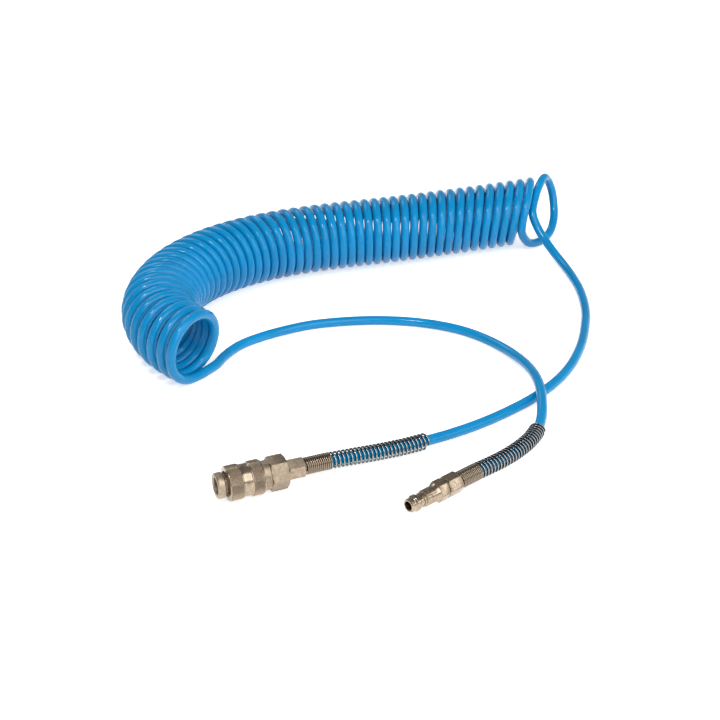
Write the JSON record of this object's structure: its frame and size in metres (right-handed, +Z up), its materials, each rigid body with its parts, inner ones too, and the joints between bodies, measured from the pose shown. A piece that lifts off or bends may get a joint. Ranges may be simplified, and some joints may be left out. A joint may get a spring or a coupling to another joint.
{
  "type": "coiled_air_hose",
  "caption": "Blue polyurethane recoil air hose with a quick coupler on one end, a plug on the other and a bend-guard spring on each",
  "frame": {"origin": "on the surface that the hose lies on, under the middle of the box round the two end fittings and their springs", "axes": "+X from the coupler's mouth towards its hose, +Y towards the coil, +Z up"},
  "size_m": [0.4678, 0.4424, 0.063],
  "materials": {
    "hose_blue": "gloss",
    "nickel": "satin",
    "spring_steel": "satin",
    "seal_rubber": "matte"
  },
  "bodies": {
    "base": {"hose_coil": "hose_blue", "coupler_lead": "hose_blue", "plug_lead": "hose_blue", "coupler_barrel": "nickel", "bore_seal": "seal_rubber", "sleeve_spring": "spring_steel", "coupler_body": "nickel", "valve_spring": "spring_steel", "coupler_nut": "nickel", "coupler_bend_spring": "spring_steel", "plug_body": "nickel", "plug_nut": "nickel", "plug_bend_spring": "spring_steel"},
    "sleeve": {"coupler_sleeve": "nickel"},
    "valve": {"valve_poppet": "nickel", "valve_seal": "seal_rubber"},
    "ball_1": {"lock_ball_1": "spring_steel"},
    "ball_2": {"lock_ball_2": "spring_steel"},
    "ball_3": {"lock_ball_3": "spring_steel"},
    "ball_4": {"lock_ball_4": "spring_steel"},
    "ball_5": {"lock_ball_5": "spring_steel"},
    "ball_6": {"lock_ball_6": "spring_steel"}
  },
  "joints": [
    {"name": "sleeve_slide", "type": "slide", "parent": "base", "child": "sleeve", "axis": [1, 0, 0], "range_m": [0, 0.0048], "stiffness_N_per_m": 2000, "springref_m": -0.006, "deforming": ["sleeve_spring"]},
    {"name": "valve_slide", "type": "slide", "parent": "base", "child": "valve", "axis": [1, 0, 0], "range_m": [0, 0.0034], "stiffness_N_per_m": 1000, "springref_m": -0.004, "deforming": ["valve_spring"]},
    {"name": "ball_1_slide", "type": "slide", "parent": "base", "child": "ball_1", "axis": [0, 0.866, -0.5], "range_m": [0, 0.00125]},
    {"name": "ball_2_slide", "type": "slide", "parent": "base", "child": "ball_2", "axis": [0, 0.866, 0.5], "range_m": [0, 0.00125]},
    {"name": "ball_3_slide", "type": "slide", "parent": "base", "child": "ball_3", "axis": [0, 0, 1], "range_m": [0, 0.00125]},
    {"name": "ball_4_slide", "type": "slide", "parent": "base", "child": "ball_4", "axis": [0, -0.866, 0.5], "range_m": [0, 0.00125]},
    {"name": "ball_5_slide", "type": "slide", "parent": "base", "child": "ball_5", "axis": [0, -0.866, -0.5], "range_m": [0, 0.00125]},
    {"name": "ball_6_slide", "type": "slide", "parent": "base", "child": "ball_6", "axis": [0, 0, -1], "range_m": [0, 0.00125]}
  ],
  "couplings": [
    {"joint": "ball_1_slide", "follows": "sleeve_slide", "ratio": 0.26042},
    {"joint": "ball_2_slide", "follows": "sleeve_slide", "ratio": 0.26042},
    {"joint": "ball_3_slide", "follows": "sleeve_slide", "ratio": 0.26042},
    {"joint": "ball_4_slide", "follows": "sleeve_slide", "ratio": 0.26042},
    {"joint": "ball_5_slide", "follows": "sleeve_slide", "ratio": 0.26042},
    {"joint": "ball_6_slide", "follows": "sleeve_slide", "ratio": 0.26042}
  ]
}
